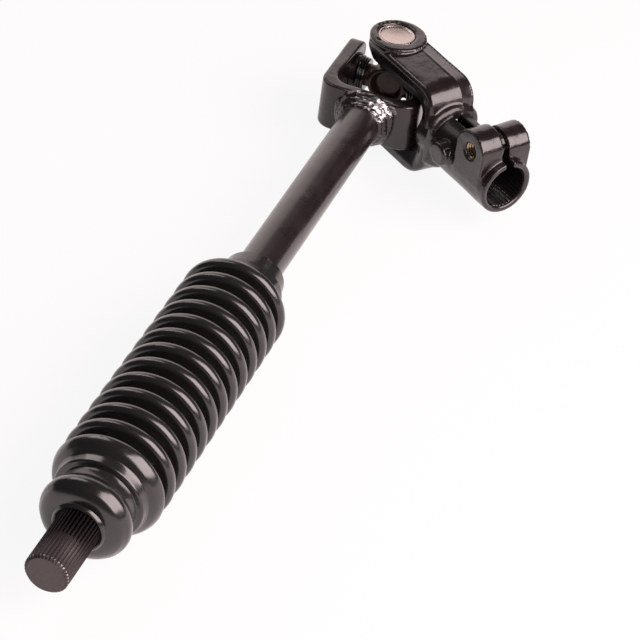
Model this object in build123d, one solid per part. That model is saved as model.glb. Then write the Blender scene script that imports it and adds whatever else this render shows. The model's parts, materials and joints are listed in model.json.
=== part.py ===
from build123d import *
import math
import os

# Intermediate steering shaft: a telescopic shaft under a bellows boot, with a
# universal joint and a slotted clamp yoke at one end and a splined stub at the other.
# Each piece is built round the centre of the universal joint: the shaft runs along X
# with its splined end towards -X, the shaft yoke's pins lie along Y and the clamp
# yoke's pins along Z. The clamp yoke is folded round Z by joint_fold.

# Splined stub at the lower end
splined_end_distance = 398.6
spline_diameter = 19.05
spline_length = 29.4
spline_teeth = 36
spline_groove_width = 0.38
spline_groove_depth = 0.55
spline_end_chamfer = 1.1
stub_neck_diameter = 18.2
stub_plug_length = 10.0
stub_shoulder_slope = 1.5
stub_shoulder_step = 1.0

# Telescopic pair with two flats
slip_tube_diameter = 28.0
slip_tube_length = 124.0
slip_tube_distance = 360.0
slip_plug_clearance = 0.6
slip_clearance = 0.07
sleeve_thickness = 0.9
sleeve_setback = 7.8
shaft_diameter = 20.6
shaft_flat_distance = 8.2
shaft_end_gap = 42.0
tube_weld_height = 1.1
tube_weld_width = 4.0

# Bellows boot
boot_ridge_count = 13
boot_pitch = 11.02
boot_first_ridge_distance = 340.5
boot_ridge_diameter = 49.6
boot_groove_diameter = 35.0
boot_ridge_width = 5.6
boot_ridge_chamfer = 1.4
boot_wall = 1.6
boot_bead_diameter = 40.0
boot_bead_length = 12.8
boot_neck_diameter = 34.4
boot_step_diameter = 39.6
boot_step_length = 5.0
boot_collar_diameter = 34.0
boot_collar_length = 10.5
boot_grip_diameter = 28.4
boot_grip_length = 9.5
boot_fit = 0.2
boot_lip = 0.9
boot_edge = 1.2
boot_throat = 2.0

# Shaft yoke, a bent strap welded to the shaft
yoke_base_distance = 38.0
yoke_base_thickness = 6.0
yoke_half_width = 26.0
yoke_ear_inside = 17.9
yoke_root_inside = 20.0
yoke_strap_width = 26.0
yoke_ear_reach = 13.8
yoke_outer_bend = 9.0
yoke_inner_bend = 7.5
yoke_tip_radius = 7.5
yoke_edge_chamfer = 0.7
yoke_weld_radius = 15.2
yoke_weld_length = 6.5

# Cross and its bearings
cross_hub_diameter = 20.0
cross_hub_half_length = 5.9
cross_rim_width = 1.8
cross_recess_depth = 4.0
cross_recess_taper = 1.9
journal_diameter = 11.0
journal_end_gap = 0.2
shoulder_diameter = 11.6
shoulder_reach = 11.6
journal_clearance = 0.03
cup_diameter = 19.0
cup_press_gap = 0.01
cup_wall = 1.3
cup_bottom = 1.4
cup_mouth_distance = 16.4
shaft_yoke_cup_face = 25.6
clamp_yoke_cup_face = 27.9
cup_dish_depth = 0.5
cup_dish_rim = 1.3
bush_setback = 0.4
thrust_disc_gap = 0.05
seal_thickness = 4.4
seal_diameter = 18.0
seal_gap = 0.25

# Clamp yoke, a forged fork with a slotted bore
joint_fold = 125.7
fork_half_height = 27.1
fork_half_gap = 14.5
fork_floor_clearance = 2.07
fork_web_thickness = 10.7
fork_top_corner_radius = 12.0
fork_bottom_corner_radius = 17.0
fork_half_width = 13.2
fork_parting = 4.8
fork_draft = 4.0
fork_edge_width = 1.4
fork_edge_draft = 45.0
fork_inner_bend = 5.0
fork_bevel_width = 2.4
fork_bevel_height = 6.0
boss_diameter = 28.6
boss_offset = 1.5
boss_height = 1.6
boss_thickness = 2.6
boss_countersink = 0.9
clamp_length = 100.0
clamp_tube_diameter = 28.6
clamp_bore_diameter = 22.2
clamp_bore_chamfer = 0.8
clamp_flare = 4.0
clamp_slit_width = 4.4
clamp_slit_start = 55.0
lug_position = 85.4
lug_height = 16.6
lug_radius = 10.6
far_lug_drop = 1.4
far_lug_radius = 9.8
lug_half_width = 14.8
pinch_thread_bore = 8.5
pinch_thread_chamfer = 0.8
pinch_clear_bore = 10.5
side_boss_position = 65.5
side_boss_lift = 2.5
side_boss_diameter = 12.2
side_boss_height = 3.4

# Sizes that follow from those above
spline_radius = spline_diameter / 2
shaft_radius = shaft_diameter / 2
slip_tube_radius = slip_tube_diameter / 2
slip_tube_start = -slip_tube_distance
slip_tube_end = slip_tube_start + slip_tube_length
boot_first_ridge = -boot_first_ridge_distance
boot_collar_start = boot_first_ridge + (boot_ridge_count - 0.5) * boot_pitch
boot_collar_end = boot_collar_start + boot_collar_length
shaft_start = slip_tube_start + shaft_end_gap
sleeve_end = boot_collar_end - sleeve_setback
sleeve_radius = shaft_radius + sleeve_thickness
sleeve_flat = shaft_flat_distance + sleeve_thickness
bore_radius = sleeve_radius + slip_clearance
bore_flat = sleeve_flat + slip_clearance
plug_radius = bore_radius + slip_plug_clearance
journal_radius = journal_diameter / 2
cup_radius = cup_diameter / 2 - cup_press_gap
cup_inner_radius = cup_radius - cup_wall
bush_radius = journal_radius + journal_clearance
boss_face = fork_half_height + boss_height
yoke_corner_reach = (
    (yoke_base_distance - yoke_outer_bend) * -math.cos(math.radians(joint_fold))
    + (yoke_half_width - yoke_outer_bend) * math.sin(math.radians(joint_fold))
    + yoke_outer_bend
)
fork_gap_depth = yoke_corner_reach + fork_floor_clearance
fork_reach = fork_gap_depth + fork_web_thickness


def rod(radius, start, end):
    """A round bar along X."""
    return extrude(Plane.YZ.offset(start) * Circle(radius), end - start)


def flatted_rod(radius, flat, start, end):
    """A round bar along X with two flats, facing up and down."""
    section = Circle(radius) & Rectangle(2.2 * radius, 2 * flat)
    return extrude(Plane.YZ.offset(start) * section, end - start)


def turned(points):
    """A turned piece on the X axis from its half outline of (x, radius) points."""
    outline = Polyline(*points, close=True)
    return revolve(make_face(outline), Axis.X)


def splined_stub():
    """Lower shaft: serrated end, neck, and the plug that is welded into the slip tube."""
    start = -splined_end_distance
    spline_end = start + spline_length
    groove = Pos(spline_radius - spline_groove_depth / 2, 0) * Rectangle(
        spline_groove_depth * 2, spline_groove_width
    )
    grooves = PolarLocations(0, spline_teeth) * groove
    teeth = extrude(
        Plane.YZ.offset(start) * (Circle(spline_radius) - grooves), spline_length
    )
    blank = turned(
        [
            (start, 0),
            (start, spline_radius - spline_end_chamfer),
            (start + spline_end_chamfer, spline_radius),
            (spline_end, spline_radius),
            (spline_end, 0),
        ]
    )
    body = turned(
        [
            (spline_end, 0),
            (spline_end, stub_neck_diameter / 2),
            (slip_tube_start - stub_shoulder_slope, stub_neck_diameter / 2),
            (slip_tube_start, slip_tube_radius - stub_shoulder_step),
            (slip_tube_start, plug_radius),
            (slip_tube_start + stub_plug_length, plug_radius),
            (slip_tube_start + stub_plug_length, 0),
        ]
    )
    return (teeth & blank) + body


def slip_tube():
    """Outer member of the telescopic pair, bored with two flats past the stub's plug."""
    plug_end = slip_tube_start + stub_plug_length
    tube = rod(slip_tube_radius, slip_tube_start, slip_tube_end)
    tube -= flatted_rod(bore_radius, bore_flat, plug_end, slip_tube_end)
    tube -= rod(plug_radius, slip_tube_start, plug_end)
    return chamfer(tube.edges().filter_by(GeomType.CIRCLE).group_by(Axis.X)[-1], 0.4)


def tube_weld():
    """Weld ring over the seam between the stub's shoulder and the slip tube."""
    start = slip_tube_start + tube_weld_width / 2
    top = slip_tube_radius + tube_weld_height
    return turned(
        [
            (start, slip_tube_radius),
            (start + 0.3 * tube_weld_width, top),
            (start + 0.7 * tube_weld_width, top),
            (start + tube_weld_width, slip_tube_radius),
        ]
    )


def slip_sleeve():
    """Nylon sleeve moulded on the flatted end of the shaft."""
    sleeve = flatted_rod(sleeve_radius, sleeve_flat, shaft_start, sleeve_end)
    return sleeve - flatted_rod(shaft_radius, shaft_flat_distance, shaft_start, sleeve_end)


def main_shaft():
    """Upper shaft: flatted at its lower end, let into the shaft yoke's base."""
    shaft = flatted_rod(shaft_radius, shaft_flat_distance, shaft_start, sleeve_end)
    shaft += rod(shaft_radius, sleeve_end, -yoke_base_distance + yoke_base_thickness)
    return shaft


def ridge_outline(crest, groove):
    """Half outline of the boot's ridges, as (x, radius) points with chamfered crests."""
    half = boot_ridge_width / 2
    flat = half - boot_ridge_chamfer
    points = []
    for ridge in range(boot_ridge_count):
        x = boot_first_ridge + ridge * boot_pitch
        if ridge > 0:
            points += [(x - half, groove), (x - half, crest - boot_ridge_chamfer)]
        points += [(x - flat, crest), (x + flat, crest)]
        points += [(x + half, crest - boot_ridge_chamfer), (x + half, groove)]
    return points


def bellows_boot():
    """Moulded boot: end bead and neck, ridges, and a stepped collar on the shaft."""
    crest = boot_ridge_diameter / 2
    groove = boot_groove_diameter / 2
    neck = boot_neck_diameter / 2
    step = boot_step_diameter / 2
    bead = boot_bead_diameter / 2
    collar = boot_collar_diameter / 2
    grip = boot_grip_diameter / 2
    tube_fit = slip_tube_radius + boot_fit
    weld_fit = tube_fit + tube_weld_height
    weld_end = slip_tube_start + 1.5 * tube_weld_width
    step_end = boot_first_ridge - boot_pitch / 2
    step_start = step_end - boot_step_length
    bead_end = step_start - boot_step_length
    bead_start = bead_end - boot_bead_length
    grip_end = boot_collar_end + boot_grip_length
    mouth = spline_radius + boot_fit
    outline = [
        (bead_start, mouth),
        (bead_start, mouth + boot_lip),
        (bead_start + 0.12 * boot_bead_length, 0.72 * bead),
        (bead_start + 0.32 * boot_bead_length, 0.91 * bead),
        (bead_start + 0.58 * boot_bead_length, bead),
        (bead_start + 0.82 * boot_bead_length, 0.97 * bead),
        (bead_end, neck),
        (step_start, neck),
        (step_start + 0.6, step),
        (step_end, step + 0.5),
        (boot_first_ridge - 0.32 * boot_pitch, 0.93 * crest),
    ]
    outline += ridge_outline(crest, groove)
    outline += [
        (boot_collar_start, groove),
        (boot_collar_start, collar),
        (boot_collar_end - boot_edge, collar),
        (boot_collar_end, grip + boot_edge / 2),
        (grip_end - boot_edge, grip),
        (grip_end, grip - boot_edge),
        (grip_end, shaft_radius + boot_fit),
        (boot_collar_end - boot_throat, shaft_radius + boot_fit),
        (boot_collar_end - 2 * boot_throat, groove - boot_wall),
        (step_end, groove - boot_wall),
        (step_end - boot_edge, tube_fit),
        (weld_end + 0.5, tube_fit),
        (weld_end + 0.5, weld_fit),
        (slip_tube_start - 0.5, weld_fit),
        (slip_tube_start - 2.0, mouth),
    ]
    return turned(outline)


def yoke_weld():
    """Weld bead that fills the corner between the shaft and the shaft yoke's base."""
    base = -yoke_base_distance
    height = yoke_weld_radius - shaft_radius
    return turned(
        [
            (base, shaft_radius),
            (base, yoke_weld_radius),
            (base - 0.28 * yoke_weld_length, shaft_radius + 0.9 * height),
            (base - 0.72 * yoke_weld_length, shaft_radius + 0.5 * height),
            (base - yoke_weld_length, shaft_radius),
        ]
    )


def shaft_yoke():
    """U-shaped strap with bored ears, rounded at its bends and ear tips."""
    base = -yoke_base_distance
    floor = base + yoke_base_thickness
    outer = Pos((base + yoke_ear_reach) / 2, 0) * Rectangle(
        yoke_ear_reach - base, 2 * yoke_half_width
    )
    outer = fillet(outer.vertices().group_by(Axis.X)[0], yoke_outer_bend)
    inner = make_face(
        Polyline(
            (floor, -yoke_root_inside),
            (yoke_ear_reach + 1, -yoke_ear_inside),
            (yoke_ear_reach + 1, yoke_ear_inside),
            (floor, yoke_root_inside),
            close=True,
        )
    )
    inner = fillet(inner.vertices().group_by(Axis.X)[0], yoke_inner_bend)
    half = yoke_strap_width / 2
    strap = Pos(0, 0, -half) * extrude(outer - inner, yoke_strap_width)
    tips = strap.edges().filter_by(Axis.Y).group_by(Axis.X)[-1]
    strap = fillet(tips, yoke_tip_radius)
    rims = strap.edges().filter_by(lambda e: abs(abs(e.center().Z) - half) < 0.01)
    strap = chamfer(rims, yoke_edge_chamfer)
    strap -= rod(shaft_radius, base - 1, floor + 1)
    pins = Rot(90, 0, 0) * Cylinder(cup_diameter / 2, 4 * yoke_half_width)
    return strap - pins


def journal_pair(cup_face):
    """Two opposite journals of the cross, along Z, with shoulders next to the hub."""
    reach = cup_face - cup_bottom - journal_end_gap
    journal = Cylinder(journal_radius, 2 * reach)
    journal = chamfer(journal.edges().filter_by(GeomType.CIRCLE), 0.6)
    return journal + Cylinder(shoulder_diameter / 2, 2 * shoulder_reach)


def spider_cross():
    """Forged cross: round hub, dished on both sides, and four shouldered journals."""
    reach = cross_hub_half_length
    rim_radius = cross_hub_diameter / 2 - cross_rim_width
    hub = rod(cross_hub_diameter / 2, -reach, reach)
    hub = chamfer(hub.edges().filter_by(GeomType.CIRCLE), 0.4)
    recess = turned(
        [
            (-reach, 0),
            (-reach, rim_radius),
            (-reach + cross_recess_depth, rim_radius - cross_recess_taper),
            (-reach + cross_recess_depth, 0),
        ]
    )
    upright = journal_pair(clamp_yoke_cup_face)
    level = Rot(90, 0, 0) * journal_pair(shaft_yoke_cup_face)
    return hub + upright + level - recess - mirror(recess, Plane.YZ)


def bearing_cup(cup_face):
    """Drawn cup with a dished bottom, standing on +Z."""
    floor = cup_face - cup_bottom
    mouth = Pos(0, 0, cup_mouth_distance)
    cup = mouth * extrude(Circle(cup_radius), cup_face - cup_mouth_distance)
    cup = chamfer(cup.edges().group_by(Axis.Z)[-1], 0.5)
    cup -= mouth * extrude(Circle(cup_inner_radius), floor - cup_mouth_distance)
    dish = Pos(0, 0, cup_face - cup_dish_depth)
    return cup - dish * extrude(Circle(cup_radius - cup_dish_rim), cup_dish_depth)


def bearing_bush(cup_face):
    """Plain bush between a cup and its journal."""
    start = cup_mouth_distance + bush_setback
    ring = Circle(cup_inner_radius) - Circle(bush_radius)
    return Pos(0, 0, start) * extrude(ring, cup_face - cup_bottom - start)


def thrust_disc(cup_face):
    """Nylon disc between a journal's end and the bottom of its cup."""
    thickness = journal_end_gap - thrust_disc_gap
    start = cup_face - cup_bottom - thickness
    return Pos(0, 0, start) * extrude(Circle(bush_radius - 0.1), thickness)


def trunnion_seal():
    """Rubber ring on a journal's shoulder, just short of the cup's mouth."""
    start = cup_mouth_distance - seal_gap - seal_thickness
    ring = Circle(seal_diameter / 2) - Circle(journal_radius)
    seal = Pos(0, 0, start) * extrude(ring, seal_thickness)
    return chamfer(seal.edges().group_by(Axis.Z)[0].sort_by(SortBy.LENGTH)[-1], 0.5)


def drafted(outline, start, length):
    """Half of a forging: its outline drafted up to a bevelled edge, towards -Y."""
    half = extrude(
        Plane.XZ.offset(start) * outline, length - fork_edge_width, taper=fork_draft
    )
    rim = half.faces().sort_by(Axis.Y)[0]
    return half + extrude(rim, fork_edge_width, taper=fork_edge_draft)


def fork_gap():
    """The room between the fork's arms, which widens at both of its open sides."""
    back = boss_diameter
    gap = Pos((fork_gap_depth - back) / 2, 0) * Rectangle(
        fork_gap_depth + back, 2 * fork_half_gap
    )
    gap = fillet(gap.vertices().group_by(Axis.X)[-1], fork_inner_bend)
    room = extrude(Plane.XZ * gap, 2 * fork_half_width, both=True)
    start = Plane.XZ.offset(fork_half_width - fork_bevel_width)
    slope = math.degrees(math.atan2(fork_bevel_height, fork_bevel_width))
    mouth = extrude(start * gap, 1.3 * fork_bevel_width, taper=-slope)
    return room + mouth + mirror(mouth, Plane.XZ)


def ear_bevel():
    """What is taken off round the end of one ear, so that its inner face is narrower."""
    inner = fork_half_width - fork_bevel_width
    wide = fork_half_width + 0.3 * fork_bevel_width
    top = fork_half_gap + 1.3 * fork_bevel_height
    outline = Polyline(
        (inner, fork_half_gap),
        (wide, top),
        (2 * wide, top),
        (2 * wide, fork_half_gap - 1),
        (inner, fork_half_gap - 1),
        close=True,
    )
    ring = revolve(make_face(Plane.XZ * outline), Axis.Z)
    return ring & Pos(-wide, 0, 0) * Box(2 * wide, 4 * wide, 4 * boss_face)


def fork():
    """Forged fork, drafted to both sides of its parting line, with round ear ends."""
    back = boss_diameter / 2 + boss_offset
    outline = Pos((fork_reach - back) / 2, 0) * Rectangle(
        fork_reach + back, 2 * fork_half_height
    )
    low_corner = outline.vertices().group_by(Axis.Y)[0].sort_by(Axis.X)[-1]
    outline = fillet(low_corner, fork_bottom_corner_radius)
    high_corner = outline.vertices().group_by(Axis.Y)[-1].sort_by(Axis.X)[-1]
    outline = fillet(high_corner, fork_top_corner_radius)
    near = drafted(outline, -fork_parting, fork_half_width + fork_parting)
    far = drafted(outline, fork_parting, fork_half_width - fork_parting)
    plan = Circle(fork_half_width)
    plan += Pos(fork_reach / 2, 0) * Rectangle(fork_reach, 2 * fork_half_width)
    plan = Pos(0, 0, -boss_face) * extrude(plan, 2 * boss_face)
    body = (near + mirror(far, Plane.XZ)) & plan
    boss = Pos(boss_offset, 0, boss_face - boss_thickness)
    boss *= extrude(Circle(boss_diameter / 2), boss_thickness)
    body += boss + mirror(boss, Plane.XY)
    body -= fork_gap()
    body -= ear_bevel()
    body -= mirror(ear_bevel(), Plane.XY)
    body -= Cylinder(cup_diameter / 2, 3 * boss_face)
    seat = Pos(0, 0, boss_face) * Cone(
        cup_diameter / 2,
        cup_diameter / 2 + boss_countersink,
        boss_countersink,
        align=(Align.CENTER, Align.CENTER, Align.MAX),
    )
    return body - seat - mirror(seat, Plane.XY)


def clamp_barrel():
    """Round barrel with a flared root and the two pinch lugs, before it is slit."""
    radius = clamp_tube_diameter / 2
    root = fork_gap_depth + 1.5
    drafted_width = fork_half_width + fork_parting - fork_edge_width
    wide = fork_reach - math.tan(math.radians(fork_draft)) * drafted_width
    barrel = rod(radius, root, clamp_length)
    barrel = chamfer(barrel.edges().group_by(Axis.X)[-1], 0.5)
    flare = Line((wide, 0), (wide, radius + clamp_flare))
    flare += RadiusArc(
        (wide, radius + clamp_flare), (wide + clamp_flare, radius), clamp_flare
    )
    flare += Line((wide + clamp_flare, radius), (wide + clamp_flare, 0))
    flare += Line((wide + clamp_flare, 0), (wide, 0))
    flare = revolve(make_face(flare), Axis.X)
    sides = Pos(wide, 0, 0) * Box(4 * clamp_flare, 2 * radius, 4 * radius)
    barrel += flare & sides
    lug_faces = {
        -lug_half_width: (lug_radius, lug_height),
        lug_half_width: (far_lug_radius, lug_height - far_lug_drop),
    }
    for reach, (lug_size, height) in lug_faces.items():
        lug = Pos(lug_position, height) * Circle(lug_size)
        lug += Pos(lug_position, height / 2) * Rectangle(2 * lug_size, height)
        barrel += extrude(Plane.XZ * lug, -reach)
    boss = Pos(side_boss_position, 0, side_boss_lift) * Rot(90, 0, 0)
    boss *= extrude(Circle(side_boss_diameter / 2), radius + side_boss_height)
    return barrel + chamfer(boss.edges().group_by(Axis.Y)[0], 0.8)


def clamp_yoke():
    """Fork and barrel in one forging, bored, slit and drilled for the pinch bolt."""
    radius = clamp_bore_diameter / 2
    body = fork() + clamp_barrel()
    body -= rod(radius, fork_gap_depth - 2, clamp_length + 1)
    body -= turned(
        [
            (clamp_length + 0.1, 0),
            (clamp_length + 0.1, radius + clamp_bore_chamfer + 0.1),
            (clamp_length - clamp_bore_chamfer, radius),
            (clamp_length - clamp_bore_chamfer, 0),
        ]
    )
    slit_length = clamp_length - clamp_slit_start + 1
    lug_top = lug_height + lug_radius + 1
    slit = Pos(clamp_slit_start + slit_length / 2, 0, lug_top / 2)
    body -= slit * Box(slit_length, clamp_slit_width, lug_top)
    bolt = Pos(lug_position, 0, lug_height) * Rot(90, 0, 0)
    body -= bolt * extrude(Circle(pinch_thread_bore / 2), lug_half_width + 1)
    body -= bolt * extrude(Circle(pinch_clear_bore / 2), -lug_half_width - 1)
    mouth = Cone(
        pinch_thread_bore / 2,
        pinch_thread_bore / 2 + pinch_thread_chamfer,
        pinch_thread_chamfer,
        align=(Align.CENTER, Align.CENTER, Align.MAX),
    )
    return body - bolt * Pos(0, 0, lug_half_width) * mouth


def folded(piece):
    """The piece turned with the clamp yoke round the vertical pins."""
    return Rot(0, 0, -joint_fold) * piece


def build():
    """Every piece by its node's name, round the centre of the universal joint."""
    pieces = {
        "splined_stub": splined_stub(),
        "slip_tube": slip_tube(),
        "tube_weld": tube_weld(),
        "slip_sleeve": slip_sleeve(),
        "main_shaft": main_shaft(),
        "bellows_boot": bellows_boot(),
        "yoke_weld": yoke_weld(),
        "shaft_yoke": shaft_yoke(),
        "spider_cross": spider_cross(),
        "clamp_yoke": folded(clamp_yoke()),
    }
    ends = {
        "shaft_yoke_right": (Rot(90, 0, 0), shaft_yoke_cup_face),
        "shaft_yoke_left": (Rot(-90, 0, 0), shaft_yoke_cup_face),
        "clamp_yoke_top": (Rot(0, 0, 0), clamp_yoke_cup_face),
        "clamp_yoke_bottom": (Rot(180, 0, 0), clamp_yoke_cup_face),
    }
    for name, (turn, cup_face) in ends.items():
        pieces[name + "_cup"] = turn * bearing_cup(cup_face)
        pieces[name + "_bush"] = turn * bearing_bush(cup_face)
        pieces[name + "_thrust_disc"] = turn * thrust_disc(cup_face)
        pieces[name + "_seal"] = turn * trunnion_seal()
    return pieces


# The origin lies under the middle of the whole piece, at the height of what it rests on
parts = build()
box = Compound(children=[Compound(p.solids()) for p in parts.values()]).bounding_box()
origin = Pos(-box.center().X, -box.center().Y, -box.min.Z)
os.makedirs("parts", exist_ok=True)
for name, piece in parts.items():
    export_step(origin * piece, "parts/" + name + ".step")
joint = origin.position
print("joint centre", round(joint.X, 3), round(joint.Y, 3), round(joint.Z, 3))
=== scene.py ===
import json
import math

import bmesh
import bpy
from mathutils import Matrix, Vector, noise


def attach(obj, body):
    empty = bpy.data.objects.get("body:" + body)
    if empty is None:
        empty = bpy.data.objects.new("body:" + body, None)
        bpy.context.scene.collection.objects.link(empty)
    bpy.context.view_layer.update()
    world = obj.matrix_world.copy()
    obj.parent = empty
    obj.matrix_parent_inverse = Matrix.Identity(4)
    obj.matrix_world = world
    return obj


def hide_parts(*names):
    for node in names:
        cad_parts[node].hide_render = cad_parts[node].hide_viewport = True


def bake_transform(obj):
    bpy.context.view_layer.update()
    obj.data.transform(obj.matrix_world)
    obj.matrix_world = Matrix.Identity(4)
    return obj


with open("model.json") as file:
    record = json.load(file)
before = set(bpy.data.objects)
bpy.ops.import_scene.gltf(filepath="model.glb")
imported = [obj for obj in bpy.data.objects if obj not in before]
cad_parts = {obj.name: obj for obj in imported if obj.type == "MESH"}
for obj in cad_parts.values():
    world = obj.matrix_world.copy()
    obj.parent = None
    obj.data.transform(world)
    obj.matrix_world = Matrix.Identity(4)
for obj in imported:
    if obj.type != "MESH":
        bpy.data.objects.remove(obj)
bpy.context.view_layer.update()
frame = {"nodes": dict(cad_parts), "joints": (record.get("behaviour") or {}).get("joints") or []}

# Camera and studio. The camera stands low behind the splined end with a long lens and is
# rolled a little, as in the photograph. The floor is white card, lit by three soft boxes.
joint_centre = Vector(
    next(j["pos_m"] for j in frame["joints"] if j["name"] == "clamp_yoke_pins")
)
camera_from_joint = Vector((-1.05708, -0.27819, 0.70345))
camera_right = Vector((0.3546, -0.9277, 0.1162)).normalized()
camera_up = Vector((0.54984, 0.30740, 0.77665))
focal_pixels = 2564.8
photo_pixels = 640
sensor_mm = 36.0

camera_data = bpy.data.cameras.new("camera")
camera_data.sensor_width = sensor_mm
camera_data.lens = focal_pixels / photo_pixels * sensor_mm
camera_data.clip_start = 0.05
camera_data.clip_end = 50
camera = bpy.data.objects.new("camera", camera_data)
camera_back = camera_right.cross(camera_up).normalized()
camera_up = camera_back.cross(camera_right)
camera.matrix_world = (
    Matrix.Translation(joint_centre + camera_from_joint)
    @ Matrix((camera_right, camera_up, camera_back)).transposed().to_4x4()
)
bpy.context.scene.collection.objects.link(camera)
bpy.context.scene.camera = camera
bpy.context.scene.view_settings.view_transform = "Standard"


def linear(hex_colour):
    """A linear colour from an sRGB hex value."""
    channels = [int(hex_colour[i : i + 2], 16) / 255 for i in (1, 3, 5)]
    turned = [c / 12.92 if c <= 0.04045 else ((c + 0.055) / 1.055) ** 2.4 for c in channels]
    return (*turned, 1.0)


def add_node(tree, kind, settings=None, **inputs):
    """Adds a node, sets its properties, then its sockets: a value, or a socket to link."""
    node = tree.nodes.new(kind)
    for name, value in (settings or {}).items():
        setattr(node, name, value)
    for name, value in inputs.items():
        key = int(name[1:]) if name[0] == "_" else name.replace("_", " ")
        socket = node.inputs[key]
        if isinstance(value, bpy.types.NodeSocket):
            tree.links.new(value, socket)
        else:
            socket.default_value = value
    return node


def new_tree(owner):
    """Turns on nodes for a material or a world and empties its tree."""
    owner.use_nodes = True
    owner.node_tree.nodes.clear()
    return owner.node_tree


# The card's own colour takes the shadow. To the camera it is mostly plain white, and
# half of that white is what glossy and clear surfaces see of it.
floor_half = 6.0
white_to_camera = 0.9
white_in_mirrors = 0.5
floor_material = bpy.data.materials.new("white card")
tree = new_tree(floor_material)
path = add_node(tree, "ShaderNodeLightPath")
seen = add_node(
    tree, "ShaderNodeMath", {"operation": "MULTIPLY"},
    _0=path.outputs["Is Camera Ray"], _1=white_to_camera,
)
mirrored = add_node(
    tree, "ShaderNodeMath", {"operation": "MAXIMUM"},
    _0=path.outputs["Is Glossy Ray"], _1=path.outputs["Is Transmission Ray"],
)
shown = add_node(
    tree, "ShaderNodeMath", {"operation": "MULTIPLY_ADD"},
    _0=mirrored.outputs[0], _1=white_in_mirrors, _2=seen.outputs[0],
)
card = add_node(tree, "ShaderNodeBsdfDiffuse", Color=linear("#f4e7e7"))
glow = add_node(tree, "ShaderNodeEmission", Color=(1, 1, 1, 1), Strength=1.0)
mixed = add_node(
    tree, "ShaderNodeMixShader", _0=shown.outputs[0], _1=card.outputs[0], _2=glow.outputs[0]
)
add_node(tree, "ShaderNodeOutputMaterial", Surface=mixed.outputs[0])
bm = bmesh.new()
bmesh.ops.create_grid(bm, x_segments=1, y_segments=1, size=floor_half)
floor_mesh = bpy.data.meshes.new("floor")
bm.to_mesh(floor_mesh)
bm.free()
floor_mesh.materials.append(floor_material)
floor = bpy.data.objects.new("floor", floor_mesh)
bpy.context.scene.collection.objects.link(floor)

# A dim room, plain white to the camera.
room_light = 0.06
world = bpy.data.worlds.new("studio")
bpy.context.scene.world = world
tree = new_tree(world)
path = add_node(tree, "ShaderNodeLightPath")
room = add_node(tree, "ShaderNodeBackground", Color=(1, 1, 1, 1), Strength=room_light)
white = add_node(tree, "ShaderNodeBackground", Color=(1, 1, 1, 1), Strength=1.0)
mixed = add_node(
    tree, "ShaderNodeMixShader",
    _0=path.outputs["Is Camera Ray"], _1=room.outputs[0], _2=white.outputs[0],
)
add_node(tree, "ShaderNodeOutputWorld", Surface=mixed.outputs[0])

# Each soft box: heading and elevation in degrees and distance in metres from the joint,
# its size in metres, its watts, and its faintly warm colour.
soft_boxes = {
    "behind": ((28, 17, 2.2), (3.4, 1.9), 22, "#ffeeec"),
    "right": ((-113, 36, 1.0), (1.15, 0.8), 19, "#ffecec"),
    "left": ((78, 52, 1.1), (0.3, 0.7), 2, "#fff2f2"),
}
for name, ((heading, elevation, distance), size, watts, colour) in soft_boxes.items():
    aim = Matrix.Rotation(math.radians(heading), 3, "Z") @ Matrix.Rotation(
        math.radians(-elevation), 3, "Y"
    )
    away = aim @ Vector((1, 0, 0))
    lamp = bpy.data.lights.new("soft box " + name, "AREA")
    lamp.shape = "RECTANGLE"
    lamp.size, lamp.size_y = size
    lamp.energy = watts
    lamp.color = linear(colour)[:3]
    holder = bpy.data.objects.new("soft box " + name, lamp)
    holder.location = joint_centre + distance * away
    holder.rotation_euler = (-away).to_track_quat("-Z", "Y").to_euler()
    holder.visible_camera = False
    bpy.context.scene.collection.objects.link(holder)


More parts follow.
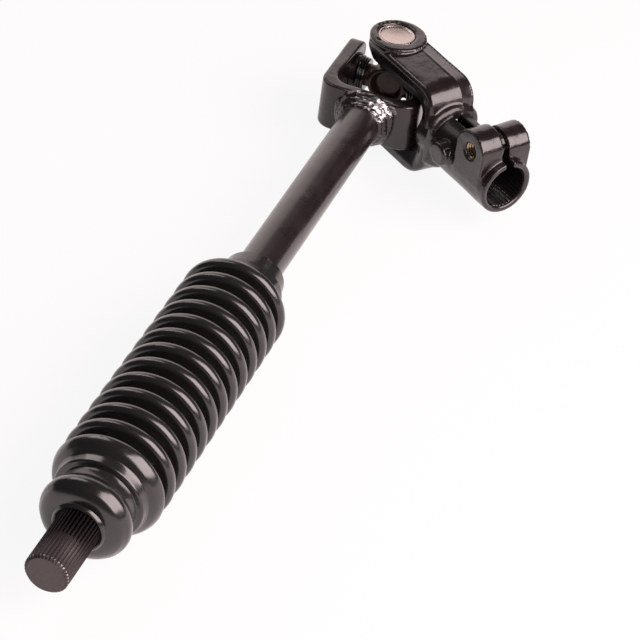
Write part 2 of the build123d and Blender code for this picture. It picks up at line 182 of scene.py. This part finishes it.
# Main shaft. A drawn steel bar, flatted at its hidden lower end and welded into the shaft
# yoke. It has the same thin black electro-coat as the yokes.
def coat_material(name, dark, pale, roughness, skin, peel_mm, dents_mm, dent_depth_mm, bare):
    """Thin black coat on steel: brownish black, uneven gloss, orange peel and dents under a
    glossy skin (weight, roughness). Where the shade attribute is set it shows painted shade, a
    matt near black; where the wear attribute is set it shows bare steel: real scratches, and also
    painted highlights and glints."""
    material = bpy.data.materials.new(name)
    tree = new_tree(material)
    place = add_node(tree, "ShaderNodeTexCoord").outputs["Object"]
    # Real scratches are finer than 0.6 mm; they are drawn as wide as they need to show.
    patch_mm = 14
    peel_depth_mm = 0.2
    scratch_mm = 0.6
    patches = add_node(
        tree, "ShaderNodeTexNoise", Vector=place, Scale=1000 / patch_mm, Detail=4.0, Roughness=0.6
    )
    colour = add_node(
        tree, "ShaderNodeMix", {"data_type": "RGBA"},
        _0=patches.outputs[0], _6=linear(dark), _7=linear(pale),
    )
    gloss = add_node(
        tree, "ShaderNodeMapRange", Value=patches.outputs[0],
        From_Min=0.35, From_Max=0.65, To_Min=roughness[0], To_Max=roughness[1],
    )
    peel = add_node(tree, "ShaderNodeTexNoise", Vector=place, Scale=1000 / peel_mm, Detail=2.0)
    dents = add_node(tree, "ShaderNodeTexNoise", Vector=place, Scale=1000 / dents_mm, Detail=2.0)
    fine = add_node(
        tree, "ShaderNodeBump", Height=peel.outputs[0], Strength=0.3,
        Distance=peel_depth_mm / 1000,
    )
    coarse = add_node(
        tree, "ShaderNodeBump", Height=dents.outputs[0], Normal=fine.outputs[0],
        Strength=1.0, Distance=dent_depth_mm / 1000,
    )
    coat = add_node(
        tree, "ShaderNodeBsdfPrincipled", Base_Color=colour.outputs[2],
        Roughness=gloss.outputs[0], Normal=coarse.outputs[0], IOR=1.5,
        Coat_Weight=skin[0], Coat_Roughness=skin[1], Coat_IOR=1.5,
    )
    steel = add_node(
        tree, "ShaderNodeBsdfPrincipled", Base_Color=linear(bare), Metallic=1.0,
        Roughness=0.35, Normal=coarse.outputs[0],
    )
    # Painted shade: a matt near black with little gloss, shown where the shade attribute is set.
    shade_black = add_node(
        tree, "ShaderNodeBsdfPrincipled", Base_Color=linear("#0f0b0c"), Roughness=0.6,
        Specular_IOR_Level=0.2, Normal=coarse.outputs[0],
    )
    shade_mask = add_node(tree, "ShaderNodeAttribute", {"attribute_name": "painted_shade"})
    coated = add_node(
        tree, "ShaderNodeMixShader", _0=shade_mask.outputs["Fac"], _1=coat.outputs[0], _2=shade_black.outputs[0]
    )
    # Bare steel where the wear attribute and the scratch noise say so: real scratches, and painted
    # highlights and glints.
    strokes = add_node(
        tree, "ShaderNodeMapping", Vector=place, Rotation=(0.4, 0.7, 0.6), Scale=(1.0, 0.1, 1.0)
    )
    scratches = add_node(
        tree, "ShaderNodeTexNoise", Vector=strokes.outputs[0], Scale=1000 / scratch_mm, Detail=1.0
    )
    wear_and_highlights = add_node(tree, "ShaderNodeAttribute", {"attribute_name": "wear_and_highlights"})
    bright_pattern = add_node(
        tree, "ShaderNodeMath", {"operation": "MULTIPLY"},
        _0=wear_and_highlights.outputs["Fac"], _1=scratches.outputs[0],
    )
    bright_share = add_node(
        tree, "ShaderNodeMapRange", Value=bright_pattern.outputs[0],
        From_Min=0.46, From_Max=0.54, To_Min=0.0, To_Max=1.0,
    )
    shown = add_node(
        tree, "ShaderNodeMixShader",
        _0=bright_share.outputs[0], _1=coated.outputs[0], _2=steel.outputs[0],
    )
    add_node(tree, "ShaderNodeOutputMaterial", Surface=shown.outputs[0])
    return material


def dress(node, material):
    """Gives a CAD node its material."""
    frame["nodes"][node].data.materials.clear()
    frame["nodes"][node].data.materials.append(material)


# Semi-gloss: long soft reflections that waver a little along the bar.
shaft_coat = coat_material(
    "black electro-coat on drawn steel", "#150f10", "#251b1d", roughness=(0.24, 0.36),
    skin=(0.7, 0.16), peel_mm=1.1, dents_mm=18, dent_depth_mm=0.5, bare="#b8aeae",
)
dress("main_shaft", shaft_coat)


# Slip tube, its weld ring, the nylon sleeve and the parts inside the bearing cups. They
# are hidden at rest and have plain finishes: drawn steel, ground steel and natural nylon.
def plain_material(name, colour, metallic, roughness, grain_mm, grain_depth_mm):
    """A bare surface with fine machining or moulding grain in its gloss and its bumps."""
    material = bpy.data.materials.new(name)
    tree = new_tree(material)
    place = add_node(tree, "ShaderNodeTexCoord").outputs["Object"]
    grain = add_node(tree, "ShaderNodeTexNoise", Vector=place, Scale=1000 / grain_mm, Detail=3.0)
    gloss = add_node(
        tree, "ShaderNodeMapRange", Value=grain.outputs[0],
        From_Min=0.3, From_Max=0.7, To_Min=0.8 * roughness, To_Max=1.2 * roughness,
    )
    bumps = add_node(
        tree, "ShaderNodeBump", Height=grain.outputs[0], Strength=0.5,
        Distance=grain_depth_mm / 1000,
    )
    shader = add_node(
        tree, "ShaderNodeBsdfPrincipled", Base_Color=linear(colour), Metallic=metallic,
        Roughness=gloss.outputs[0], Normal=bumps.outputs[0],
    )
    add_node(tree, "ShaderNodeOutputMaterial", Surface=shader.outputs[0])
    return material


# Satin grey metal, a brighter and smoother one, and a milky plastic with a soft sheen.
drawn_steel = plain_material(
    "drawn steel tube", "#8c8684", metallic=1.0, roughness=0.4, grain_mm=0.8, grain_depth_mm=0.02
)
ground_steel = plain_material(
    "ground bearing steel", "#a8a3a2", metallic=1.0, roughness=0.22,
    grain_mm=0.4, grain_depth_mm=0.01,
)
natural_nylon = plain_material(
    "natural nylon", "#d8d2c0", metallic=0.0, roughness=0.45, grain_mm=0.6, grain_depth_mm=0.02
)
bearing_ends = ("shaft_yoke_right", "shaft_yoke_left", "clamp_yoke_top", "clamp_yoke_bottom")
dress("slip_tube", drawn_steel)
dress("tube_weld", drawn_steel)
dress("slip_sleeve", natural_nylon)
for end in bearing_ends:
    dress(end + "_bush", ground_steel)
    dress(end + "_thrust_disc", natural_nylon)


# Splined stub. Machined steel with rolled serrations and a phosphate-dark surface, turned
# flat at its end. The tooth tips are pale at the chamfer: partly rubbed bright where the hub
# slides on, partly a painted highlight.
def phosphated_material():
    """Grey-brown phosphated steel, pale where the wear attribute is set: rubbed wear and a painted
    highlight.
    """
    material = bpy.data.materials.new("phosphated machined steel")
    tree = new_tree(material)
    place = add_node(tree, "ShaderNodeTexCoord").outputs["Object"]
    speck_mm = 1.5
    speck_depth_mm = 0.06
    specks = add_node(tree, "ShaderNodeTexNoise", Vector=place, Scale=1000 / speck_mm, Detail=3.0)
    wear_and_highlights = add_node(tree, "ShaderNodeAttribute", {"attribute_name": "wear_and_highlights"})
    bright_pattern = add_node(
        tree, "ShaderNodeMath", {"operation": "MULTIPLY"},
        _0=wear_and_highlights.outputs["Fac"], _1=specks.outputs[0],
    )
    shown = add_node(
        tree, "ShaderNodeMapRange", Value=bright_pattern.outputs[0],
        From_Min=0.25, From_Max=0.55, To_Min=0.0, To_Max=1.0,
    )
    colour = add_node(
        tree, "ShaderNodeMix", {"data_type": "RGBA"},
        _0=shown.outputs[0], _6=linear("#342c2d"), _7=linear("#d8d0cd"),
    )
    bumps = add_node(
        tree, "ShaderNodeBump", Height=specks.outputs[0], Strength=0.4,
        Distance=speck_depth_mm / 1000,
    )
    shader = add_node(
        tree, "ShaderNodeBsdfPrincipled", Base_Color=colour.outputs[2], Metallic=0.3,
        Roughness=0.55, Normal=bumps.outputs[0],
    )
    add_node(tree, "ShaderNodeOutputMaterial", Surface=shader.outputs[0])
    return material


def add_piece(name, bm, place, material, smooth_angle=35):
    """Makes a finished object of a bmesh in millimetres, with its place in its mesh."""
    bmesh.ops.transform(bm, matrix=place, verts=bm.verts)
    bmesh.ops.recalc_face_normals(bm, faces=bm.faces)
    for face in bm.faces:
        face.smooth = True
    for edge in bm.edges:
        edge.smooth = edge.calc_face_angle(0) < math.radians(smooth_angle)
    mesh = bpy.data.meshes.new(name)
    bm.to_mesh(mesh)
    bm.free()
    mesh.materials.append(material)
    piece = bpy.data.objects.new(name, mesh)
    bpy.context.scene.collection.objects.link(piece)
    return piece


def paint_wear_and_highlights(piece, amount):
    """Stores amount(vertex, in millimetres from the joint) as the wear attribute, which carries
    real wear and also painted highlights and glints.
    """
    layer = piece.data.attributes.new("wear_and_highlights", "FLOAT", "POINT")
    for vert, item in zip(piece.data.vertices, layer.data):
        item.value = amount((vert.co - joint_centre) * 1000)


shaft_place = Matrix.Translation(joint_centre) @ Matrix.Scale(0.001, 4)
spline_teeth = 36
points_per_tooth = 8
groove_share = (0.3, 0.7)
spline_tip = 9.525
spline_root = 9.1
spline_start = -398.6
spline_chamfer = 1.2
spline_end = -367.6
pale_tip_length = 1.5
neck_radius = 9.1
shoulder_radius = 13.0
plug_radius = 11.87
stub_stages = [
    (spline_start, spline_tip - spline_chamfer),
    (spline_start + spline_chamfer, spline_tip),
    (spline_start + pale_tip_length + 0.2, spline_tip),
    (spline_end, spline_tip),
    (spline_end + 0.1, neck_radius),
    (-361.5, neck_radius),
    (-360.0, shoulder_radius),
    (-359.9, plug_radius),
    (-350.0, plug_radius),
]

bm = bmesh.new()
bmesh.ops.create_circle(
    bm, cap_ends=True, segments=spline_teeth * points_per_tooth, radius=spline_tip,
    matrix=Matrix.Rotation(math.pi / 2, 4, "Y"),
)
end_face = list(bm.faces)
ring = bm.verts[:]
for stage, (x, radius) in enumerate(stub_stages):
    if stage > 0:
        made = bmesh.ops.extrude_face_region(bm, geom=end_face)["geom"]
        end_face = [f for f in made if isinstance(f, bmesh.types.BMFace)]
        ring = [v for v in made if isinstance(v, bmesh.types.BMVert)]
    for vert in ring:
        tooth = math.atan2(vert.co.y, vert.co.z) / math.tau * spline_teeth % 1.0
        groove = radius == spline_tip and groove_share[0] < tooth < groove_share[1]
        vert.co.yz = vert.co.yz.normalized() * (spline_root if groove else radius)
        vert.co.x = x
teeth = add_piece("stub_serrations", bm, shaft_place, phosphated_material(), 25)
# The turned face is painted a shade paler and is more even than the teeth: the paleness is painted
# light from the front.
teeth.data.materials.append(
    plain_material(
        "phosphated end face painted lit", "#575051", metallic=0.2, roughness=0.5,
        grain_mm=1.0, grain_depth_mm=0.02,
    )
)
end_face_depth = 0.05
for face in teeth.data.polygons:
    if (face.center.x - joint_centre.x) * 1000 < spline_start + end_face_depth:
        face.material_index = 1


def stub_wear_and_highlight(point):
    """Pale on the tooth tips where the chamfer meets them: rubbed wear, and a painted highlight.
    """
    on_tip = math.hypot(point.y, point.z) > spline_tip - 0.2
    return 0.78 if on_tip and point.x - spline_start < pale_tip_length else 0.0


paint_wear_and_highlights(teeth, stub_wear_and_highlight)
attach(teeth, "lower_shaft")
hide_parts("splined_stub")


# Bellows boot. Moulded black rubber with a glossy skin: a domed bead and a neck on the
# stub, 13 round ridges, and a stepped collar that grips the shaft, askew and with a fold.
def turned(points, steps):
    """A ring or solid from its half outline of (x, radius) points spun round the X axis."""
    bm = bmesh.new()
    verts = [bm.verts.new((x, 0, radius)) for x, radius in points]
    for first, second in zip(verts, verts[1:] + verts[:1]):
        bm.edges.new((first, second))
    bmesh.ops.spin(
        bm, geom=bm.verts[:] + bm.edges[:], cent=(0, 0, 0), axis=(1, 0, 0), dvec=(0, 0, 0),
        angle=math.tau, steps=steps, use_merge=True, use_duplicate=False,
    )
    bmesh.ops.remove_doubles(bm, verts=bm.verts, dist=1e-4)
    bmesh.ops.delete(bm, geom=[e for e in bm.edges if not e.link_faces], context="EDGES")
    bmesh.ops.recalc_face_normals(bm, faces=bm.faces)
    return bm


def soften(bm, chosen, width, segments):
    """Rounds the edges for which chosen(edge) is true."""
    edges = [e for e in bm.edges if chosen(e)]
    bmesh.ops.bevel(
        bm, geom=edges, offset=width, offset_type="OFFSET", affect="EDGES",
        segments=segments, profile=0.5, material=-1, clamp_overlap=True,
    )


def ring_edge(edge):
    """True for an edge that runs round the X axis and turns by more than 25 degrees."""
    first, second = edge.verts
    along = abs(first.co.x - second.co.x)
    return along < 1e-3 and edge.calc_face_angle(0) > math.radians(25)


def rubber_material(name, colour, roughness, wave_mm):
    """Moulded rubber: near black, a glossy skin, slow waves and a little dust in its gloss."""
    material = bpy.data.materials.new(name)
    tree = new_tree(material)
    place = add_node(tree, "ShaderNodeTexCoord").outputs["Object"]
    wave_depth_mm = 0.2
    dust_mm = 3
    waves = add_node(tree, "ShaderNodeTexNoise", Vector=place, Scale=1000 / wave_mm, Detail=2.0)
    dust = add_node(tree, "ShaderNodeTexNoise", Vector=place, Scale=1000 / dust_mm, Detail=4.0)
    gloss = add_node(
        tree, "ShaderNodeMapRange", Value=dust.outputs[0],
        From_Min=0.3, From_Max=0.7, To_Min=roughness[0], To_Max=roughness[1],
    )
    bumps = add_node(
        tree, "ShaderNodeBump", Height=waves.outputs[0], Strength=1.0,
        Distance=wave_depth_mm / 1000,
    )
    shader = add_node(
        tree, "ShaderNodeBsdfPrincipled", Base_Color=linear(colour),
        Roughness=gloss.outputs[0], Normal=bumps.outputs[0], IOR=1.52,
        Coat_Weight=0.7, Coat_Roughness=0.18, Coat_IOR=1.5,
    )
    add_node(tree, "ShaderNodeOutputMaterial", Surface=shader.outputs[0])
    return material


# Bright arcs on each ridge over a soft, near neutral black.
boot_rubber = rubber_material(
    "moulded black boot rubber", "#1e1d1d", roughness=(0.16, 0.28), wave_mm=9
)
ridge_count = 13
ridge_pitch = 11.02
first_ridge = -340.5
ridge_crest = 24.8
ridge_root = 17.4
ridge_half = 2.8
bead_centre = (-361.2, 11.9)
bead_size = (7.0, 8.1)
bead_steps = 12
groove_step = 8
groove_depth = 0.3
step_start, step_end = -357.0, -345.0
collar_start = -203.0
collar_radius = 17
boot_outline = [(-368.6, 9.75), (-369.6, 10.1), (-369.8, 10.8), (-369.2, 11.5)]
for step in range(bead_steps + 1):
    angle = math.radians(90 * step / bead_steps)
    groove = groove_depth if step == groove_step else 0.0
    x = bead_centre[0] - bead_size[0] * math.cos(angle)
    boot_outline.append((x, bead_centre[1] + bead_size[1] * math.sin(angle) - groove))
boot_outline += [
    (-358.8, 19.5), (-356.4, 17.5), (-355.4, 17.2), (-350.8, 17.3), (-350.5, 19.3),
    (-349.9, 19.9), (-347.2, 20.1), (-345.9, 20.5), (-344.6, 22.6), (-342.6, 24.6),
]
for ridge in range(ridge_count):
    x = first_ridge + ridge * ridge_pitch
    if ridge > 0:
        boot_outline += [(x - 1.1 * ridge_half, ridge_root), (x - ridge_half, ridge_crest)]
    boot_outline += [(x + ridge_half, ridge_crest), (x + 1.1 * ridge_half, ridge_root)]
boot_outline += [
    (-202.6, 16.8), (-194.2, 16.7), (-192.4, 14.5), (-184.4, 14.2), (-183.0, 13.0),
    (-183.0, 10.6), (-194.2, 10.6), (-196.2, 15.7), (-346.0, 15.7), (-347.2, 14.3),
    (-353.4, 14.3), (-353.4, 15.4), (-360.6, 15.4), (-362.0, 9.75),
]
bm = turned(boot_outline, 112)
soften(bm, lambda e: ring_edge(e) and e.verts[0].co.yz.length > 24.0, 2.75, 6)
soften(bm, lambda e: ring_edge(e) and e.verts[0].co.x > step_end, 0.9, 2)
soften(bm, lambda e: ring_edge(e) and step_start < e.verts[0].co.x < step_end, 0.3, 2)
collar_run_in = 8.0
collar_inside = 13
collar_askew = 1.6
collar_bulge = 0.7
fold_depth = 0.9
fold_angle = -0.45
fold_width = 0.16
for vert in bm.verts:
    along = vert.co.x - collar_start
    if along > 0.0:
        lean = min(1.0, along / collar_run_in)
        side = vert.co.y / collar_radius
        vert.co.x -= collar_askew * lean * side
        around = math.atan2(vert.co.y, vert.co.z)
        fold = math.exp(-((around - fold_angle) / fold_width) ** 2)
        if vert.co.yz.length > collar_inside:
            swell = collar_bulge * max(0.0, -side) - fold_depth * fold
            vert.co.yz *= 1 + lean * swell / collar_radius
boot = add_piece("bellows_boot_skin", bm, shaft_place, boot_rubber, 50)
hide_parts("bellows_boot")
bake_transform(boot)


# Yoke weld. One run of arc weld round the shaft at the yoke's base, rippled and lumpy,
# coated with the rest and bare bright over its top and upper right: partly scraped, partly a
# painted highlight.
# Glossier than on the bar, so that every rolled edge carries a crisp line of light.
yoke_coat = coat_material(
    "black electro-coat on forged steel", "#130d0e", "#221819", roughness=(0.18, 0.32),
    skin=(0.55, 0.08), peel_mm=1.0, dents_mm=7, dent_depth_mm=0.45, bare="#c4c4c4",
)
weld_outline = [
    (-37.6, 9.9), (-37.6, 15.8), (-39.0, 15.5), (-40.2, 14.5), (-40.7, 13.6), (-41.3, 13.7),
    (-42.6, 12.5), (-43.1, 11.7), (-43.7, 11.8), (-45.0, 10.8), (-45.4, 10.2), (-45.4, 9.9),
]
buried_radius = 10.1
ripple_depth = 0.08
ripple_count = 30
lump_depth = 0.8
bm = turned(weld_outline, 144)
in_sight = [e for e in bm.edges if e.verts[0].co.yz.length > buried_radius]
bmesh.ops.subdivide_edges(bm, edges=in_sight, cuts=1, use_grid_fill=True)
for vert in bm.verts:
    out = vert.co.yz.length
    if out > buried_radius:
        around = math.atan2(vert.co.y, vert.co.z)
        ripple = ripple_depth * math.sin(around * ripple_count + 1.6 * vert.co.x)
        spot = Vector((vert.co.x * 0.35, vert.co.y * 0.22, vert.co.z * 0.22))
        lump = lump_depth * noise.noise(spot)
        vert.co.yz *= 1 + (ripple + 0.9 * lump) / out
        vert.co.x -= 0.5 * lump
weld = add_piece("yoke_weld_bead", bm, shaft_place, yoke_coat, 60)


def weld_wear_and_highlight(point):
    """Bare metal over the top and the upper right of the ring: partly scraped, partly a painted
    highlight.
    """
    around = math.atan2(point.y, point.z)
    return 0.95 if -1.15 < around < 0.35 and point.x < -38.0 else 0.0


paint_wear_and_highlights(weld, weld_wear_and_highlight)
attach(weld, "upper_shaft")
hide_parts("yoke_weld")


# Shaft yoke. A thick steel strap bent to a U with bored ears, its cut edges rolled round.
# It is coated black after welding.
def forged_copy(name, node, material, voxel_mm, rounds, dent):
    """A copy of a CAD solid with its edges softened, moved by dent(point, normal)."""
    mesh = frame["nodes"][node].data.copy()
    bm = bmesh.new()
    bm.from_mesh(mesh)
    bmesh.ops.remove_doubles(bm, verts=bm.verts, dist=1e-6)
    bm.to_mesh(mesh)
    bm.free()
    piece = bpy.data.objects.new(name, mesh)
    bpy.context.scene.collection.objects.link(piece)
    remesh = piece.modifiers.new("even mesh", "REMESH")
    remesh.mode = "VOXEL"
    remesh.voxel_size = voxel_mm / 1000
    softer = piece.modifiers.new("soft edges", "SMOOTH")
    softer.factor = 0.5
    softer.iterations = rounds
    depsgraph = bpy.context.evaluated_depsgraph_get()
    final = bpy.data.meshes.new_from_object(piece.evaluated_get(depsgraph))
    piece.modifiers.clear()
    piece.data = final
    final.name = name
    final.materials.clear()
    final.materials.append(material)
    bm = bmesh.new()
    bm.from_mesh(final)
    bm.normal_update()
    for vert in bm.verts:
        vert.co += vert.normal * dent(vert.co - joint_centre, vert.normal) / 1000
    for face in bm.faces:
        face.smooth = True
    bm.to_mesh(final)
    bm.free()
    return piece


def yoke_dent(point, normal):
    """Slow unevenness of the strap, in millimetres."""
    return 0.14 * noise.noise(point * 90) - 0.1


yoke = forged_copy("shaft_yoke_coated", "shaft_yoke", yoke_coat, 0.6, 4, yoke_dent)
strap_edge = (-37.8, 12.8)
strap_edge_width = 1.3
strap_face = -35.5
weld_bright_radius = 18.5


def yoke_wear_and_highlight(point):
    """Bare beside the weld, partly scraped and partly a painted highlight; a painted highlight
    along the strap's front top edge at negative y, and scratches along it at positive y.
    """
    if point.x > strap_face:
        return 0.0
    around = math.atan2(point.y, point.z)
    if -1.2 < around < -0.5 and math.hypot(point.y, point.z) < weld_bright_radius:
        return 0.93
    away = math.hypot(point.x - strap_edge[0], point.z - strap_edge[1])
    edge = max(0.0, 1.0 - away / strap_edge_width)
    if -26.0 < point.y < -9.0:
        return 1.5 * edge
    return 1.25 * edge if 9.0 < point.y < 24.0 else 0.0


paint_wear_and_highlights(yoke, yoke_wear_and_highlight)
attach(yoke, "upper_shaft")
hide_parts("shaft_yoke")


# Spider cross. A forged steel cross with a dished hub, dark from forging. Its journals are
# ground bright, but they are hidden inside the cups.
# Brown-black scale with a dull sheen.
cross_steel = plain_material(
    "dark forged steel", "#40332f", metallic=0.5, roughness=0.35, grain_mm=2.0, grain_depth_mm=0.08
)
cross = forged_copy(
    "spider_cross_forging", "spider_cross", cross_steel, 0.45, 3, lambda point, normal: 0.0
)
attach(cross, "cross")
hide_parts("spider_cross")


# Trunnion seals. Moulded black rubber rings with two lips that close each cup's mouth.
# They are pushed on the journals and turn with the cross.
# Blacker and a little duller than the boot.
seal_rubber = rubber_material(
    "moulded black seal rubber", "#0f0d0d", roughness=(0.2, 0.3), wave_mm=5
)
end_turns = {
    "shaft_yoke_right": Matrix.Rotation(-math.pi / 2, 4, "Z"),
    "shaft_yoke_left": Matrix.Rotation(math.pi / 2, 4, "Z"),
    "clamp_yoke_top": Matrix.Rotation(-math.pi / 2, 4, "Y"),
    "clamp_yoke_bottom": Matrix.Rotation(math.pi / 2, 4, "Y"),
}
seal_outline = [
    (11.8, 5.6), (11.8, 8.0), (12.5, 8.6), (13.1, 8.0), (13.8, 8.8), (14.4, 8.1),
    (15.2, 9.0), (16.1, 8.7), (16.1, 5.6),
]
for end, turn in end_turns.items():
    bm = turned(seal_outline, 64)
    soften(bm, lambda e: ring_edge(e) and e.verts[0].co.yz.length > 8, 0.2, 2)
    seal = add_piece(end + "_lip_seal", bm, shaft_place @ turn, seal_rubber, 40)
    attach(seal, "cross")
    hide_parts(end + "_seal")


# Bearing cups. Deep-drawn steel cups pressed into the ears, with a rolled rim round a
# shallow dish. The clamp yoke's pair went in after coating and stayed bright; the shaft
# yoke's pair was coated with it.
# Pale satin metal with the fine orange peel of deep drawing.
cup_steel = plain_material(
    "drawn cup steel", "#d2c4be", metallic=1.0, roughness=0.27, grain_mm=0.7, grain_depth_mm=0.012
)
for end, turn in end_turns.items():
    bright = end.startswith("clamp")
    face = 27.9 if bright else 25.6
    outline = [
        (16.4, 8.19), (16.4, 9.49), (face - 0.5, 9.49), (face, 8.99), (face, 8.3),
        (face - 0.45, 7.9), (face - 0.55, 6.5), (face - 0.75, 4.0), (face - 0.85, 2.0),
        (face - 0.9, 0.0), (face - 1.4, 0.0), (face - 1.4, 8.19),
    ]
    bm = turned(outline, 96)
    soften(bm, lambda e: ring_edge(e) and e.verts[0].co.x > face - 0.6, 0.25, 2)
    cup = add_piece(
        end + "_drawn_cup", bm, shaft_place @ turn, cup_steel if bright else yoke_coat, 40
    )
    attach(cup, "clamp_end" if bright else "upper_shaft")
    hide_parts(end + "_cup")


# Clamp yoke. One steel forging, its fork and its slotted barrel, with a parting line along
# the middle of its arms. The bore, slit and bolt holes are machined before it is coated.
clamp_fold = Matrix.Rotation(math.radians(-125.7), 4, "Z")
clamp_place = Matrix.Translation(joint_centre) @ clamp_fold @ Matrix.Scale(0.001, 4)
unfold = clamp_fold.inverted().to_3x3()
arm_length = 54.0
boss_radius = 14.6
barrel_radius = 14
parting_y = 4.8
flash_half = 0.8
mouth_x = 95.6
ear_height = 28
stake_depth = 1.0
stake_radius = 1.7
stake_marks = {7: 9.6, 145: 11.0, 170: 11.0, 196: 11.2, 275: 11.2}


def clamp_dent(point, normal):
    """Forging unevenness, the flash line left at the parting, a rolled ring at the
    barrel's mouth, and the punch marks that stake the top and bottom cups."""
    local = unfold @ (point * 1000)
    depth = 0.2 * noise.noise(point * 80)
    lean = abs((unfold @ normal).y)
    on_arm = local.x < arm_length and local.xy.length > boss_radius
    if on_arm and lean < 0.5 and abs(local.z) > barrel_radius:
        depth += 0.25 * max(0.0, 1 - abs(local.y - parting_y) / flash_half)
        depth -= 0.09 * max(0.0, local.y - parting_y)
    if abs(local.x - mouth_x) < 1.0 and abs((unfold @ normal).x) < 0.5:
        depth += 0.35 * (1 - abs(local.x - mouth_x)) * max(0.0, local.z / barrel_radius)
    if abs(normal.z) > 0.8 and abs(local.z) > ear_height:
        for angle, radius in stake_marks.items():
            mark = Vector((math.cos(math.radians(angle)), math.sin(math.radians(angle))))
            away = (local.xy - mark * radius).length
            depth -= stake_depth * max(0.0, 1 - (away / stake_radius) ** 2)
    return min(depth, 0.0) if abs(local.z) > ear_height else depth


def in_clamp(vert):
    """A vertex's place in the clamp yoke's own frame, in millimetres."""
    return unfold @ ((vert.co - joint_centre) * 1000)


clamp = forged_copy("clamp_yoke_forging", "clamp_yoke", yoke_coat, 0.6, 4, clamp_dent)
# The lug runs out softly into the barrel's near side.
runout_rounds = 14
bm = bmesh.new()
bm.from_mesh(clamp.data)
runout = []
for vert in bm.verts:
    local = in_clamp(vert)
    if 70.0 < local.x < 97.5 and -9.0 < local.z < 7.5 and local.y < -11.0:
        runout.append(vert)
for _ in range(runout_rounds):
    bmesh.ops.smooth_vert(
        bm, verts=runout, factor=0.5, use_axis_x=True, use_axis_y=True, use_axis_z=True
    )
bm.to_mesh(clamp.data)
bm.free()


def share(value):
    """A value held between 0 and 1."""
    return min(1.0, max(0.0, value))


# Painted shade, a matt near black, inside the fork, in the bore and on the top side behind the
# lugs, where shade falls.
layer = clamp.data.attributes.new("painted_shade", "FLOAT", "POINT")
for vert, item in zip(clamp.data.vertices, layer.data):
    local = in_clamp(vert)
    inside_fork = share((21.5 - abs(local.z)) / 1.5) * share((45.0 - local.x) / 2)
    in_bore = 1.0 if local.yz.length < 11.5 and local.x < 98.8 else 0.0
    behind_lugs = share((local.x - 53.0) / 4) * share((78.0 - local.x) / 5)
    top_side = 1.0 if local.z > -2.0 and local.y > -12.0 else 0.0
    item.value = max(inside_fork, in_bore, 0.75 * behind_lugs * top_side)
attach(clamp, "clamp_end")
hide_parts("clamp_yoke")


# Serrations of the clamp bore. They are broached in the forging's own steel and are coated
# with it; here they are 36 small ridges on the bore's wall, left out where the slit is.
rib_count = 36
rib_radius = 0.62
rib_start = 44.0
rib_length = 54.6
bore_radius = 11.1
slit_half = 3.0
bm = bmesh.new()
for rib in range(rib_count):
    angle = math.tau * (rib + 0.5) / rib_count
    if abs(math.sin(angle) * bore_radius) < slit_half and math.cos(angle) > 0:
        continue
    spoke = Matrix.Rotation(angle, 4, "X") @ Matrix.Translation(
        (rib_start + rib_length / 2, 0, bore_radius)
    )
    bmesh.ops.create_cone(
        bm, cap_ends=True, segments=4, radius1=rib_radius, radius2=rib_radius,
        depth=rib_length, matrix=spoke @ Matrix.Rotation(math.pi / 2, 4, "Y"),
    )
ribs = add_piece("clamp_bore_serrations", bm, clamp_place, yoke_coat, 20)


def rib_painted_glint(point):
    """Bare bright steel on the lowest serrations, just inside the barrel's mouth, as a painted
    glint.
    """
    local = unfold @ point
    return 1.6 if local.x > 96.0 and local.z < -9.3 else 0.0


paint_wear_and_highlights(ribs, rib_painted_glint)
# Painted shade over all the serrations: a matt near black in the bore.
layer = ribs.data.attributes.new("painted_shade", "FLOAT", "POINT")
for item in layer.data:
    item.value = 1.0
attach(ribs, "clamp_end")


# Thread in the near lug. A tapped M10 hole, kept free of the black coat, so that the
# yellow zinc on its flanks shows.
thread_pitch = 1.5
thread_turns = 7
thread_steps = 40
thread_root = 4.4
thread_crest = 3.75
thread_profile = [
    (0, 0, thread_root), (thread_pitch / 2, 0, thread_crest), (thread_pitch, 0, thread_root)
]
bm = bmesh.new()
corners = [bm.verts.new(corner) for corner in thread_profile]
for first, second in zip(corners, corners[1:]):
    bm.edges.new((first, second))
bmesh.ops.spin(
    bm, geom=bm.verts[:] + bm.edges[:], cent=(0, 0, 0), axis=(1, 0, 0),
    dvec=(thread_pitch / thread_steps, 0, 0), angle=math.tau * thread_turns,
    steps=thread_steps * thread_turns, use_merge=False, use_duplicate=False,
)
bmesh.ops.remove_doubles(bm, verts=bm.verts, dist=1e-3)
lug_turn = Matrix.Translation((85.4, -14.4, 16.6)) @ Matrix.Rotation(math.pi / 2, 4, "Z")
# Straw-coloured glints on the flanks, deep in a dark hole.
yellow_zinc = plain_material(
    "yellow zinc on cut thread", "#b3a283", metallic=1.0, roughness=0.25,
    grain_mm=0.5, grain_depth_mm=0.01,
)
thread = add_piece("pinch_bolt_thread", bm, clamp_place @ lug_turn, yellow_zinc, 25)
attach(thread, "clamp_end")
